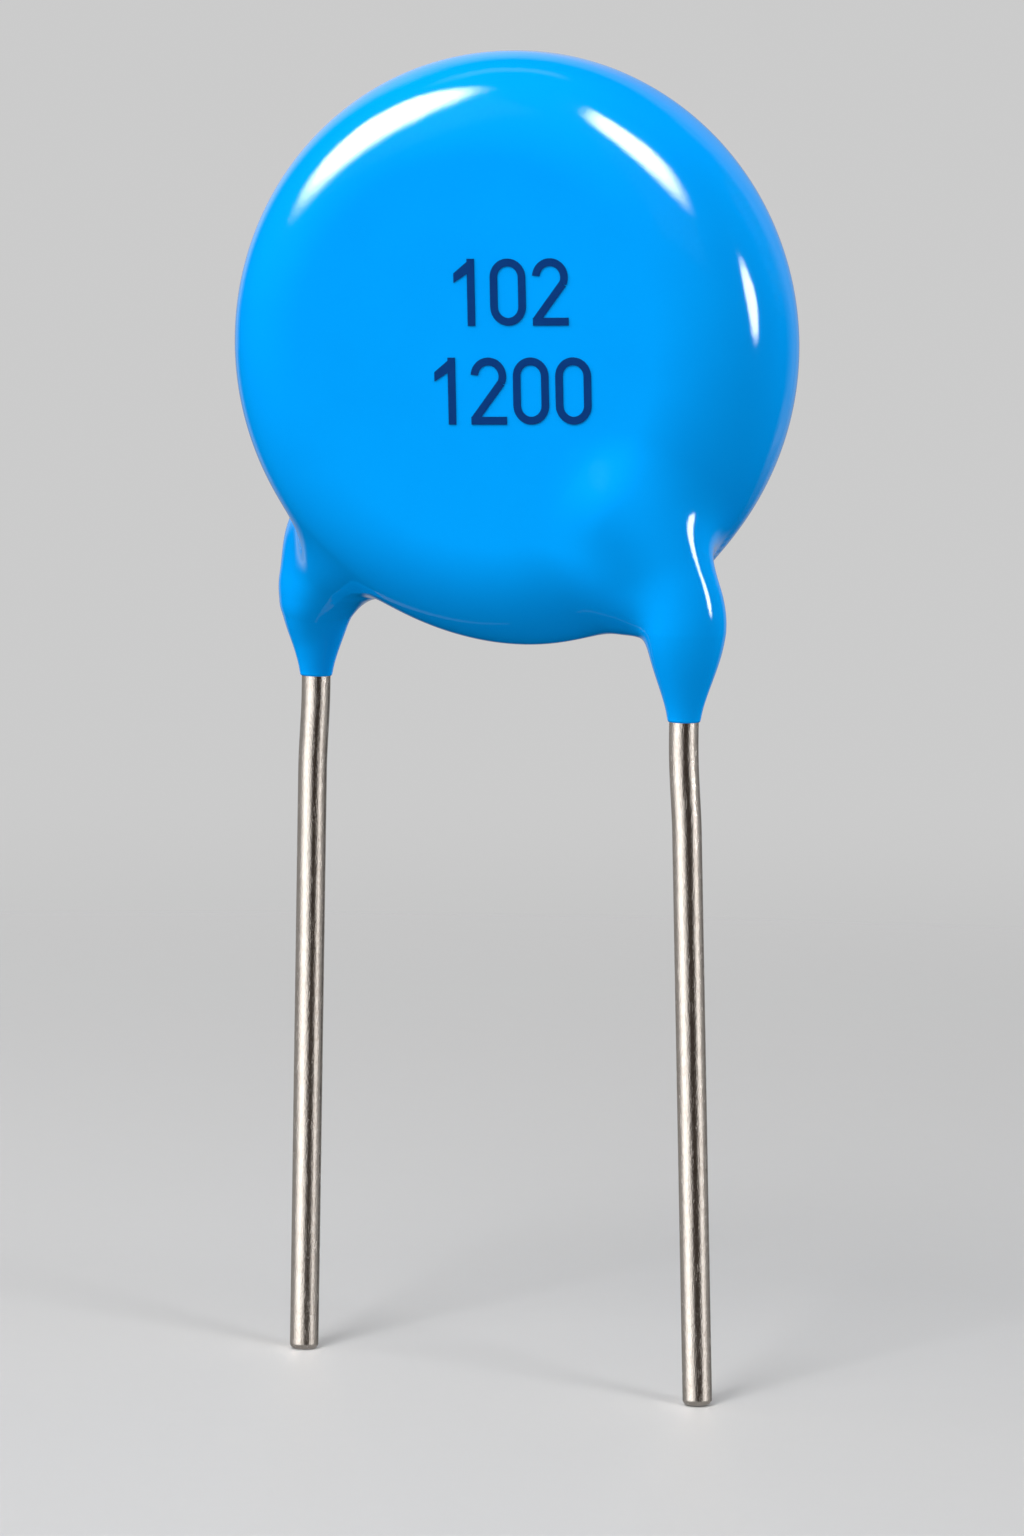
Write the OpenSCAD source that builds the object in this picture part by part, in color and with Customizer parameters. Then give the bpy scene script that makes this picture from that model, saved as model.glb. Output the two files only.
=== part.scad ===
// Ceramic disc capacitor: a silvered ceramic disc with two wire leads soldered to its faces,
// dipped in epoxy that runs a little way down each lead.
// Millimetres. X runs along the disc's faces, the front face looks along -Y, and +Z is up.
// The origin is on the plane of the lead tips, straight below the centre of the disc.

/* [Ceramic disc] */
// Diameter of the ceramic disc
ceramic_diameter = 13.6; // [10:0.1:18]
// Thickness of the ceramic disc
ceramic_thickness = 2.8; // [1.6:0.1:4]
// Width of the bevel round the ceramic's edges
ceramic_bevel = 0.15; // [0.05:0.05:0.4]

/* [Electrodes] */
// Bare ceramic left round each electrode
electrode_margin = 0.7; // [0.3:0.1:1.5]
// Thickness of the fired silver
electrode_thickness = 0.05; // [0.03:0.01:0.1]

/* [Leads] */
// Diameter of the lead wire
lead_diameter = 0.8; // [0.5:0.05:1]
// Distance between the leads where they leave the coating
lead_pitch = 12.3; // [10:0.1:14]
// How far the middle of the two leads lies from the disc's centre line
lead_offset = -0.37; // [-0.6:0.01:0.6]
// Bare length of the front lead, from the coating down to the plane of the tips
lead_length = 18.5; // [8:0.05:30]
// Radius of the bend from the leg to the run across the face
bend_radius = 4; // [3.4:0.1:4.4]
// Slope of the run across the face, in degrees from level
run_slope = 38; // [32:1:42]
// Distance from the disc's centre line to the inner end of the wire
run_end_reach = 2.2; // [1.8:0.1:2.4]
// Distance from the disc's centre down to where the run would meet the leg
corner_drop = 5.4; // [5:0.1:5.8]
// Radius of the two slight bends below the coating
kick_radius = 18; // [10:1:40]
// Straight length between the two slight bends
kick_length = 0.8; // [0.3:0.1:2]
// Outward angle of the front lead between its two slight bends
front_kick = 4.2; // [2.5:0.1:6]
// Outward angle of the front lead down to its tip
front_splay = 2.15; // [0.5:0.05:2.5]
// Outward angle of the rear lead between its two slight bends
rear_kick = 2.6; // [1:0.1:5]
// Outward angle of the rear lead down to its tip
rear_splay = 0.1; // [0:0.05:0.9]
// Width of the bevel at each tip
tip_bevel = 0.12; // [0.03:0.01:0.2]

/* [Solder] */
// Solder left between the wire and the electrode
solder_film = 0.05; // [0.03:0.01:0.1]
// Thickness of solder over the wire
solder_cover = 0.2; // [0.1:0.05:0.3]
// Length of wire under the solder mound
solder_length = 2.4; // [1.2:0.1:3]
// Radius of the mound's foot on the electrode
solder_foot = 1.3; // [0.9:0.1:1.6]
// Height of the mound's foot over the electrode
solder_rise = 0.55; // [0.3:0.05:0.8]

/* [Coating] */
// Thickness of the coating over each electrode
coat_face = 1.55; // [1.3:0.05:2.2]
// Thickness of the coating round the ceramic's rim
coat_side = 1.15; // [0.8:0.05:2]
// Extra thickness where the coating gathered at the rim's lowest part
coat_sag = 0.24; // [0:0.02:0.4]
// How far the gathered coating lies towards the front lead, in degrees round the rim
sag_turn = 14; // [-20:1:20]
// Extra thickness of the web between the rim and the inner side of the front leg
front_web = 1; // [0:0.05:1.4]
// Extra thickness of the web between the rim and the inner side of the rear leg
rear_web = 2.3; // [0:0.05:2.4]
// Radius of the coating's rounded rim
rim_radius = 2.8; // [1.8:0.1:2.9]
// Distance from the disc's centre down to the end of the front leg
front_drop = 9.85; // [9:0.05:12]
// Distance from the disc's centre down to the end of the rear leg
rear_drop = 9.5; // [9:0.05:12]
// Thickness of the coating at the lip of a leg
lip_wall = 0.05; // [0.04:0.01:0.12]
// Thickness of the coating round the lead where a leg is fullest
leg_wall = 0.7; // [0.5:0.05:0.9]
// Thickness of the coating round the front lead in its bend
front_neck_wall = 0.6; // [0.4:0.05:0.8]
// Thickness of the coating round the rear lead in its bend
rear_neck_wall = 0.9; // [0.6:0.05:1.1]
// Thickness of the coating's swelling over the inner end of the wire
ridge_wall = 0.3; // [0.1:0.05:0.4]
// How far the swelling over the run lies outside the wire where the run starts
ridge_rise = 0.3; // [0:0.05:0.5]
// How far the swelling sinks into the face at the inner end of the wire
ridge_sink = 0.8; // [0.6:0.05:1]
// Length over which a leg swells from its lip
leg_taper = 2.7; // [1.5:0.1:4]
// Reach of the fillet where a leg or its swelling meets the disc
blend = 1.3; // [0.8:0.1:1.6]
// Reach of the fillet under the disc, on the inner side of each leg
arch_blend = 1; // [0.6:0.1:2]

/* [Marking] */
// Height of a digit
digit_height = 1.8; // [1:0.1:2]
// Width of a digit
digit_width = 1.02; // [0.7:0.01:1.1]
// Width of a digit's strokes
stroke = 0.21; // [0.12:0.01:0.26]
// Space between digits
digit_gap = 0.2; // [0.1:0.02:0.3]
// Space between the two lines
line_gap = 0.85; // [0.5:0.05:1]
// Distance from the disc's centre line to the middle of the marking
marking_x = 1.0; // [0:0.1:1.2]
// Height of the middle of the marking over the disc's centre
marking_z = 0.25; // [0:0.05:0.8]
// Turn of the marking on the face, in degrees
marking_turn = 2.2; // [-6:0.2:6]
// Thickness of the ink
ink_thickness = 0.03; // [0.03:0.01:0.1]

/* [Hidden] */
$fn = 64;

// Heights and depths that follow from the sizes above
disc_z = lead_length + front_drop;
electrode_diameter = ceramic_diameter - 2 * electrode_margin;
electrode_y = ceramic_thickness / 2 + electrode_thickness;
lead_radius = lead_diameter / 2;
wire_y = electrode_y + solder_film + lead_radius;
coat_radius = ceramic_diameter / 2 + coat_side;
coat_half = electrode_y + coat_face;
leg_radius = lead_radius + leg_wall;

// One record for each lead:
// [distance from the disc's centre line, drop to the leg's end, kick, splay, coating in the bend, web]
front = [lead_pitch / 2 + lead_offset, front_drop, front_kick, front_splay, front_neck_wall, front_web];
rear = [lead_pitch / 2 - lead_offset, rear_drop, rear_kick, rear_splay, rear_neck_wall, rear_web];
function leg_x(lead) = lead[0];
function leg_end(lead) = -lead[1];
function kick(lead) = lead[2];
function splay(lead) = lead[3];
function neck_radius(lead) = lead_radius + lead[4];
function web(lead) = lead[5];

// The wire's bend: it turns from straight down to the run's slope
bend_angle = 90 - run_slope;
bend_reach = bend_radius * tan(bend_angle / 2);
lip_to_kick = 0.3;
bend_thinning = 0.002;
bend_grip = 0.02;
bend_z = -corner_drop - bend_reach;
function run_length(lead) = (leg_x(lead) - run_end_reach) / cos(run_slope) - bend_reach;
function run_end_z(lead) = (leg_x(lead) - run_end_reach) * tan(run_slope) - corner_drop;

// ---- Wire ----

// A bend in a wire that heads down. It turns the wire outwards, or inwards where the angle is negative.
// Wire thins slightly where it is bent.
module wire_bend(angle, radius)
    rotate([0, 0, angle < 0 ? 180 : 0])
        translate([radius, 0, 0])
            rotate([-90, 0, 180])
                rotate_extrude(angle = abs(angle))
                    translate([radius, 0])
                        circle(r = lead_radius - bend_thinning);

// Wire that follows a list of steps [straight length, turn, bend radius], with a bevelled tip at its end.
// A straight stretch runs a little way into the bends next to it.
module wire(steps, i = 0) {
    length = steps[i][0];
    angle = steps[i][1];
    radius = steps[i][2];
    last = i == len(steps) - 1;
    top = i == 0 ? 0 : bend_grip;
    bottom = last ? length - tip_bevel : length + bend_grip;
    translate([0, 0, -bottom])
        cylinder(h = bottom + top, r = lead_radius);
    translate([0, 0, -length])
        if (last)
            cylinder(h = tip_bevel, r1 = lead_radius - tip_bevel, r2 = lead_radius);
        else {
            wire_bend(angle, radius);
            translate([sign(angle) * radius * (1 - cos(angle)), 0, -radius * abs(sin(angle))])
                rotate([0, -angle, 0])
                    wire(steps, i + 1);
        }
}

// Drop of the wire from the leg's end to the top of its last straight stretch
function kick_drop(lead) =
    lip_to_kick + kick_radius * sin(kick(lead)) + kick_length * cos(kick(lead))
    + kick_radius * (sin(kick(lead)) - sin(splay(lead)));

// Length of the last straight stretch, which ends on the plane of the tips
function tip_length(lead) =
    (disc_z + leg_end(lead) - kick_drop(lead)) / cos(splay(lead)) - lead_radius * tan(splay(lead));

// One lead from its inner end to its tip, on the front face and in the disc's own height
module formed_lead(lead)
    translate([run_end_reach, -wire_y, run_end_z(lead)])
        rotate([0, -bend_angle, 0])
            wire([
                [run_length(lead), -bend_angle, bend_radius],
                [bend_z - leg_end(lead) + lip_to_kick, kick(lead), kick_radius],
                [kick_length, splay(lead) - kick(lead), kick_radius],
                [tip_length(lead), 0, 0]
            ]);

// What belongs to the rear lead is drawn as a front lead's and turned half round
module on_rear_face() rotate([0, 0, 180]) children();

module front_lead() color([0.72, 0.70, 0.67]) translate([0, 0, disc_z]) formed_lead(front);

module rear_lead() color([0.72, 0.70, 0.67]) translate([0, 0, disc_z]) on_rear_face() formed_lead(rear);

// ---- Ceramic and electrodes ----

module facing_y() rotate([90, 0, 0]) children();

module ceramic_disc()
    color([0.86, 0.80, 0.70])
        translate([0, 0, disc_z])
            facing_y()
                rotate_extrude()
                    polygon([
                        [0, -ceramic_thickness / 2],
                        [ceramic_diameter / 2 - ceramic_bevel, -ceramic_thickness / 2],
                        [ceramic_diameter / 2, ceramic_bevel - ceramic_thickness / 2],
                        [ceramic_diameter / 2, ceramic_thickness / 2 - ceramic_bevel],
                        [ceramic_diameter / 2 - ceramic_bevel, ceramic_thickness / 2],
                        [0, ceramic_thickness / 2]
                    ]);

module electrode()
    color([0.83, 0.83, 0.85])
        translate([0, -ceramic_thickness / 2, disc_z])
            facing_y()
                cylinder(h = electrode_thickness, d = electrode_diameter);

module front_electrode() electrode();

module rear_electrode() on_rear_face() electrode();

// ---- Solder ----

// The solder as if there were no wire in it: a low cone on the electrode, a bar over the wire's end
// with bevelled ends, and a strip that the wire beds in as far as the electrode's edge.
// It starts at a depth behind the face.
module solder_mass(lead, depth) {
    bar_radius = lead_radius + solder_cover;
    strip_width = lead_diameter * 0.6;
    intersection() {
        translate([run_end_reach, 0, run_end_z(lead)])
            rotate([0, run_slope, 0]) {
                translate([solder_length / 2, 0, 0])
                    facing_y() {
                        cylinder(h = electrode_y, r = solder_foot);
                        translate([0, 0, electrode_y])
                            cylinder(h = solder_rise, r1 = solder_foot, r2 = bar_radius);
                    }
                translate([0, -wire_y, 0])
                    rotate([0, 90, 0])
                        cylinder(h = solder_length, r = bar_radius);
                for (end = [0, 1])
                    translate([end * solder_length, -wire_y, 0])
                        rotate([0, 180 * end - 90, 0])
                            cylinder(h = solder_cover, r1 = bar_radius, r2 = lead_radius);
                translate([0, -wire_y, -strip_width / 2])
                    cube([run_length(lead), wire_y - depth, strip_width]);
            }
        translate([0, -depth, 0])
            facing_y()
                cylinder(h = coat_half - depth, d = electrode_diameter);
    }
}

module solder(lead)
    color([0.78, 0.78, 0.78])
        translate([0, 0, disc_z])
            difference() {
                solder_mass(lead, electrode_y);
                formed_lead(lead);
            }

module front_solder() solder(front);

module rear_solder() on_rear_face() solder(rear);

// ---- Coating ----
// The skin is where a distance field is zero. The field blends a round-rimmed disc with a sleeve
// round each wire. All of it is in the disc's own height.

function clamp(value, low, high) = max(low, min(high, value));

function ease(t) = let (u = clamp(t, 0, 1)) u * u * (3 - 2 * u);

function mix(a, b, t) = a + (b - a) * t;

function soft_min(a, b, reach) = let (h = max(reach - abs(a - b), 0) / reach) min(a, b) - h * h * reach / 4;

// What the coating gathers at the rim, by angle from the rim's lowest point towards the front lead.
// A web lies a little inside each leg, on that leg's side of the disc.
sag_width = 26;
web_width = 8;
web_turn = 15;
function bump(angle, middle, width) = exp(-pow((angle - middle) / width, 2));
function leg_web(angle, depth, lead) =
    web(lead) * bump(angle, asin(min(leg_x(lead) / coat_radius, 1)) - web_turn, web_width)
        * ease(0.5 - depth / (2 * wire_y));
function gathered(p) =
    let (angle = atan2(p.x, -p.z))
    coat_sag * bump(angle, sag_turn, sag_width)
    + leg_web(angle, p.y, front) + leg_web(-angle, -p.y, rear);

function disc_field(p) =
    let (
        out = norm([p.x, p.z]) - (coat_radius - rim_radius) - gathered(p),
        off = abs(p.y) - (coat_half - rim_radius)
    )
    norm([max(out, 0), max(off, 0)]) + min(max(out, off), 0) - rim_radius;

// Radius of the sleeve at a distance along the wire from the leg's end. It is fullest at the end of the
// taper, narrowest halfway round the bend, and sinks into the face along the run.
function sleeve_radius(s, neck, bend_middle, run_start, run) =
    s < leg_taper
    ? mix(lead_radius + lip_wall, leg_radius, pow(sin(90 * max(s / leg_taper, 0)), 1.5))
    : s < run_start
    ? mix(leg_radius, neck, ease((s - leg_taper) / (bend_middle - leg_taper)))
    : mix(neck, lead_radius + ridge_wall, ease((s - run_start) / run));

// Distance from a point to the sleeve round one wire, drawn on the front face. The sleeve swells outwards
// round the bend and sinks back along the run.
function sleeve_field(p, lead) =
    let (
        q = [p.x, p.z],
        depth = p.y + wire_y,
        x = leg_x(lead),
        end = leg_end(lead),
        top = bend_z,
        hub = [x - bend_radius, top],
        turn = clamp(atan2(q.y - hub.y, q.x - hub.x), 0, bend_angle),
        way = [-sin(bend_angle), cos(bend_angle)],
        start = hub + bend_radius * [cos(bend_angle), sin(bend_angle)],
        run = run_length(lead),
        along = clamp((q - start) * way, 0, run),
        arc = bend_radius * PI / 180,
        bend_rise = ridge_rise * ease(turn / bend_angle),
        run_rise = mix(ridge_rise, -ridge_sink, ease(along / run)),
        bend_middle = top - end + arc * bend_angle / 2,
        run_start = top - end + arc * bend_angle,
        neck = neck_radius(lead),
        z = clamp(q.y, end, top)
    )
    min(
        norm([q.x - x, q.y - z, depth]) - sleeve_radius(z - end, neck, bend_middle, run_start, run),
        norm(concat(q - hub - bend_radius * [cos(turn), sin(turn)], depth + bend_rise))
            - sleeve_radius(top - end + arc * turn, neck, bend_middle, run_start, run),
        norm(concat(q - start - along * way, depth + run_rise))
            - sleeve_radius(run_start + along, neck, bend_middle, run_start, run)
    );

// Reach of the fillet between the disc and a leg, which is broader in the arch between the legs
arch_height = 1.5;
function fillet_reach(p, lead) =
    mix(blend, arch_blend, ease((-p.z - coat_radius) / arch_height + 1) * ease(leg_x(lead) - p.x));

function skin_field(p) =
    let (q = [-p.x, -p.y, p.z])
    soft_min(
        soft_min(disc_field(p), sleeve_field(p, front), fillet_reach(p, front)),
        sleeve_field(q, rear),
        fillet_reach(q, rear)
    );

// Distance along a ray to the skin, between a near point inside it and a far point outside
function skin_hit(start, way, near, far, steps) =
    let (middle = (near + far) / 2)
    steps == 0 ? middle
    : skin_field(start + middle * way) > 0 ? skin_hit(start, way, near, middle, steps - 1)
    : skin_hit(start, way, middle, far, steps - 1);

// The skin is drawn as rings that turn like a fan about a pivot between the legs, from the end of
// the rear leg over the disc to the end of the front leg.
pivot_drop = 1.35;
pivot = [lead_offset, -max(front_drop, rear_drop) - pivot_drop];
ring_points = 44;
leg_rings = 16;
root_rings = 16;
disc_rings = 22;
ray_steps = 22;

// Fan angles of one half. A leg's root lies about the angle at which a ray just touches the disc.
// A ring lies level at the leg's end and takes the fan's tilt over the first degrees of the leg.
touch_angle = acos(coat_radius / norm(pivot));
root_start = touch_angle - 6;
root_end = touch_angle + 8;
steepest = 70;
tilt_span = 16;
function end_angle(lead) = atan2(leg_end(lead) - pivot.y, lead_pitch / 2);
function fan_angles(lead) = [
    for (i = [0 : leg_rings - 1]) mix(end_angle(lead), root_start, i / leg_rings),
    for (i = [0 : root_rings - 1]) mix(root_start, root_end, i / root_rings),
    for (i = [0 : disc_rings / 2 - 1]) mix(root_end, 90, 2 * i / disc_rings)
];

// One ring of the skin. The side is 1 towards the front lead and -1 towards the rear lead.
function ring(angle, lead, side) =
    let (
        leg_span = leg_x(lead) - side * pivot.x,
        leg_point = [side * leg_x(lead), pivot.y + leg_span * tan(min(angle, steepest))],
        way = [side * cos(angle), sin(angle)],
        foot = pivot + (-pivot * way) * way,
        half_chord = sqrt(max(pow(coat_radius, 2) - foot * foot, pow(leg_radius, 2))),
        t = ease((angle - root_start) / (root_end - root_start)),
        middle = mix(leg_point, foot, t),
        start = [middle.x, -side * wire_y * (1 - t), middle.y],
        long = mix(leg_radius, half_chord, t),
        wide = mix(leg_radius, coat_half, t),
        tilt = angle * ease((angle - end_angle(lead)) / tilt_span)
    )
    [
        for (i = [0 : ring_points - 1])
            let (
                turn = 360 * i / ring_points,
                ray = [
                    side * long * cos(turn) * cos(tilt),
                    wide * sin(turn),
                    long * cos(turn) * sin(tilt)
                ],
                unit = ray / norm(ray)
            )
            start + skin_hit(start, unit, 0, 2 * coat_radius, ray_steps) * unit
    ];

module skin() {
    rear_angles = fan_angles(rear);
    front_angles = fan_angles(front);
    n = len(rear_angles);
    rings = [
        for (angle = rear_angles) ring(angle, rear, -1),
        ring(90, front, 1),
        for (i = [n - 1 : -1 : 0]) ring(front_angles[i], front, 1)
    ];
    count = len(rings);
    points = [for (one = rings) each one];
    faces = [
        [for (i = [ring_points - 1 : -1 : 0]) i],
        for (r = [0 : count - 2], i = [0 : ring_points - 1])
            let (
                j = (i + 1) % ring_points,
                a = r * ring_points + i,
                b = r * ring_points + j,
                c = a + ring_points,
                d = b + ring_points
            )
            each [[a, b, c], [b, d, c]],
        [for (i = [0 : ring_points - 1]) (count - 1) * ring_points + i]
    ];
    polyhedron(points, faces);
}

// What the coating encloses, as one body. Its pieces run into each other.
module core() {
    ceramic_disc();
    translate([0, electrode_y, disc_z])
        facing_y()
            cylinder(h = 2 * electrode_y, d = electrode_diameter);
    translate([0, 0, disc_z]) {
        solder_mass(front, 0);
        formed_lead(front);
        on_rear_face() {
            solder_mass(rear, 0);
            formed_lead(rear);
        }
    }
}

module epoxy_coating()
    color([0.0, 0.60, 0.98])
        difference() {
            translate([0, 0, disc_z]) skin();
            core();
        }

// ---- Marking ----
// Plain digits with round strokes, each drawn from its lower left corner

module stadium(width, height) {
    square([width, height - width], center = true);
    for (side = [-1, 1])
        translate([0, side * (height - width) / 2])
            circle(d = width);
}

module digit_0()
    translate([digit_width / 2, digit_height / 2])
        difference() {
            stadium(digit_width, digit_height);
            stadium(digit_width - 2 * stroke, digit_height - 2 * stroke);
        }

module digit_1() {
    bar_x = digit_width * 0.55;
    flag = digit_width * 0.38;
    translate([bar_x, 0])
        square([stroke, digit_height]);
    polygon([
        [bar_x + stroke / 2, digit_height],
        [bar_x - flag, digit_height - flag],
        [bar_x - flag, digit_height - flag - stroke * 1.2],
        [bar_x + stroke / 2, digit_height - stroke * 1.6]
    ]);
}

module digit_2() {
    bowl = digit_width / 2;
    hub = [bowl, digit_height - bowl];
    square([digit_width, stroke]);
    translate(hub)
        difference() {
            circle(r = bowl);
            circle(r = bowl - stroke);
            polygon([
                [0, 0], [-2 * bowl, 0.2 * bowl], [-2 * bowl, -2 * bowl],
                [2 * bowl, -2 * bowl], [2 * bowl, -0.9 * bowl]
            ]);
        }
    polygon([
        [0, stroke * 0.9],
        [stroke * 0.35, 0],
        [stroke * 1.3, stroke * 0.9],
        hub + bowl * [cos(-28), sin(-28)],
        hub + (bowl - stroke) * [cos(-20), sin(-20)]
    ]);
}

module digit(value) {
    if (value == 0) digit_0();
    if (value == 1) digit_1();
    if (value == 2) digit_2();
}

module number_line(digits) {
    pitch = digit_width + digit_gap;
    for (i = [0 : len(digits) - 1])
        translate([(i - len(digits) / 2) * pitch + digit_gap / 2, 0])
            digit(digits[i]);
}

module value_marking()
    color([0.0, 0.20, 0.48])
        translate([marking_x, -coat_half, disc_z + marking_z])
            facing_y()
                linear_extrude(ink_thickness)
                    rotate(marking_turn) {
                        translate([0, line_gap / 2]) number_line([1, 0, 2]);
                        translate([0, -line_gap / 2 - digit_height]) number_line([1, 2, 0, 0]);
                    }

epoxy_coating();
ceramic_disc();
front_electrode();
rear_electrode();
front_solder();
rear_solder();
front_lead();
rear_lead();
value_marking();
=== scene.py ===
from math import acos, asin, atan2, cos, degrees, hypot, pi, radians, sin, sqrt, tan

import bpy
import numpy as np
from mathutils import Matrix, Vector


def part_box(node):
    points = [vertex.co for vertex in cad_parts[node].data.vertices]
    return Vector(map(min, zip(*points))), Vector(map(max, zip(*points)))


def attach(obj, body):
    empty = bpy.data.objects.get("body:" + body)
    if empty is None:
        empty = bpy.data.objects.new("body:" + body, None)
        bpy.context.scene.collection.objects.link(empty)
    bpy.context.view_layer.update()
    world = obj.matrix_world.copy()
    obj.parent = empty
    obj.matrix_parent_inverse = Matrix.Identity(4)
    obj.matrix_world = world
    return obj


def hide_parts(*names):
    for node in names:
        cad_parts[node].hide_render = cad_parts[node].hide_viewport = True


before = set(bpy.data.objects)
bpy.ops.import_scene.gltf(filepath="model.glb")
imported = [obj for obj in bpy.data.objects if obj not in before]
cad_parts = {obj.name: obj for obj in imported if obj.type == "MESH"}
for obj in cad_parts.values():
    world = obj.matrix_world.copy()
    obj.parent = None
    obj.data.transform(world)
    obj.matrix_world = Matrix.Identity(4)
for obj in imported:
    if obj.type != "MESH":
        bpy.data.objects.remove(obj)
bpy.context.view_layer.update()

scene = bpy.context.scene
millimetre = 0.001
print("frame loaded:", len(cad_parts), "pieces")


# one output of a shader node; arithmetic on it adds Math nodes
class Signal:
    def __init__(self, graph, socket):
        self.graph = graph
        self.socket = socket

    def math(self, operation, *inputs):
        return self.graph.add("ShaderNodeMath", {"operation": operation}, *inputs)

    def __add__(self, other): return self.math("ADD", self, other)
    def __radd__(self, other): return self.math("ADD", other, self)
    def __sub__(self, other): return self.math("SUBTRACT", self, other)
    def __rsub__(self, other): return self.math("SUBTRACT", other, self)
    def __mul__(self, other): return self.math("MULTIPLY", self, other)
    def __rmul__(self, other): return self.math("MULTIPLY", other, self)
    def __pow__(self, other): return self.math("POWER", self, other)

    def absolute(self):
        return self.math("ABSOLUTE", self)

    def clamped(self):
        return self.math("MINIMUM", self.math("MAXIMUM", self, 0.0), 1.0)

    # another output of the same node
    def beside(self, output):
        return Signal(self.graph, self.socket.node.outputs[output])


# the nodes of one material or world
class Graph:
    def __init__(self, owner):
        owner.use_nodes = True
        self.tree = owner.node_tree
        self.tree.nodes.clear()

    # a node of a type: its settings are set first, then the values or links of its sockets
    def add(self, kind, settings=None, *inputs, output=0, **named):
        node = self.tree.nodes.new(kind)
        for name, value in (settings or {}).items():
            setattr(node, name, value)
        for place, value in enumerate(inputs):
            self.feed(node.inputs[place], value)
        for name, value in named.items():
            self.feed(node.inputs[name.replace("_", " ")], value)
        return Signal(self, node.outputs[output]) if len(node.outputs) else None

    def feed(self, socket, value):
        if value is None:
            return
        if isinstance(value, Signal):
            self.tree.links.new(value.socket, socket)
        elif socket.type == "RGBA":
            socket.default_value = (*value, 1.0)
        else:
            socket.default_value = value

    def vector(self, operation, *inputs, output=0):
        return self.add("ShaderNodeVectorMath", {"operation": operation}, *inputs, output=output)

    def blendColor(self, factor, first, second):
        between = [None] * 5  # the Mix node's sockets for numbers and vectors
        return self.add("ShaderNodeMix", {"data_type": "RGBA"},
                        factor, *between, first, second, output=2)

    def noise(self, place, scale, detail=3.0, roughness=0.5):
        return self.add("ShaderNodeTexNoise", {"noise_dimensions": "3D"},
                        Vector=place, Scale=scale, Detail=detail, Roughness=roughness)

    # 0 to 1 as the value goes from low to high
    def fade(self, value, low, high, how="LINEAR"):
        return self.add("ShaderNodeMapRange", {"interpolation_type": how},
                        Value=value, From_Min=low, From_Max=high)

    # a height in millimetres, felt as a tilt of the surface
    def bumps(self, height, strength=1.0):
        return self.add("ShaderNodeBump", None,
                        Strength=strength, Distance=millimetre, Height=height)

    # a point on the object, in metres
    def place(self):
        return self.add("ShaderNodeTexCoord", output="Object")

    # and in millimetres, so that a noise scale is per millimetre; stretch draws the noise out
    def point(self, stretch=None):
        spot = self.vector("MULTIPLY", self.place(), (1 / millimetre,) * 3)
        return self.vector("MULTIPLY", spot, stretch) if stretch else spot

    def finish(self, surface, kind="ShaderNodeOutputMaterial"):
        self.add(kind, None, surface)


def newMaterial(name):
    material = bpy.data.materials.new(name)
    return material, Graph(material)


def dress(piece, material):
    piece.data.materials.clear()
    piece.data.materials.append(material)


camera = {
    "place": (91.77, -233.09, 42.85),  # mm
    "turn": 21.47,  # degrees from straight on, towards +X
    "pitch": 5.94,  # downwards
    "roll": 0.87,
    "lens": 216.47,  # mm
    "sensor": 36,
    "clip": (0.01, 10),  # m
}


def makeCamera():
    turn, pitch, roll = (radians(camera[k]) for k in ("turn", "pitch", "roll"))
    ahead = Vector((-sin(turn) * cos(pitch), cos(turn) * cos(pitch), -sin(pitch)))
    right = Vector((cos(turn), sin(turn), 0))
    up = right.cross(ahead)
    rolledRight = right * cos(roll) + up * sin(roll)
    rolledUp = up * cos(roll) - right * sin(roll)
    data = bpy.data.cameras.new("camera")
    data.lens = camera["lens"]
    data.sensor_width = camera["sensor"]
    data.clip_start, data.clip_end = camera["clip"]
    data.dof.use_dof = False
    made = bpy.data.objects.new("camera", data)
    scene.collection.objects.link(made)
    turned = Matrix((rolledRight, rolledUp, -ahead)).transposed().to_4x4()
    made.matrix_world = Matrix.Translation(Vector(camera["place"]) * millimetre) @ turned
    scene.camera = made


makeCamera()
print("camera placed")

# sizes that the coating and the leads share, in millimetres and degrees
discLow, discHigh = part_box("ceramic_disc")
discMiddle = (discLow + discHigh) / 2 / millimetre
leadLow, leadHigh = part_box("front_lead")

wire = {
    "radius": 0.4,
    "depth": -(leadLow.y + leadHigh.y) / 2 / millimetre,  # of its axis, before the disc's middle
    "bend": 4.0,
    "slope": 38.0,  # of the run across a face
    "endReach": 2.2,  # from the disc's middle to the wire's inner end
    "cornerDrop": 5.4,  # from the disc's middle to where the run would meet the leg
    "kickRadius": 18.0,  # of the two slight bends below the coating
    "kickLength": 0.8,  # between them
    "lipToKick": 0.3,
    "around": 56,  # mesh steps round the wire
    "bendStep": 3.0,  # degrees to a mesh step in a bend
    "straightStep": 0.6,
    "bevel": 0.03,  # of the inner end, and the step before the rounded tip
    "tipRound": (0.13, 0.14),  # width and height of the rounded tip
    "tipSteps": 8,
}
# x is a lead's distance from the disc's middle, drop goes down to the end of its leg of coating,
# kick and splay are the slants below, neck is the coating's wall in the bend, and web fills in
# the corner between leg and disc
frontLead = {"x": 5.78, "drop": 9.85, "kick": 4.2, "splay": 2.15,
             "neck": 0.6, "web": 1.0, "side": 1}
rearLead = {"x": 6.52, "drop": 9.5, "kick": 2.6, "splay": 0.1,
            "neck": 0.9, "web": 2.3, "side": -1}

bendAngle = 90 - wire["slope"]
bendReach = wire["bend"] * tan(radians(bendAngle / 2))
discShift = np.array(discMiddle)  # where the disc's middle stands in the part


def bendHeight(lead):
    return -wire["cornerDrop"] - bendReach


def endHeight(lead):
    return (lead["x"] - wire["endReach"]) * tan(radians(wire["slope"])) - wire["cornerDrop"]


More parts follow.
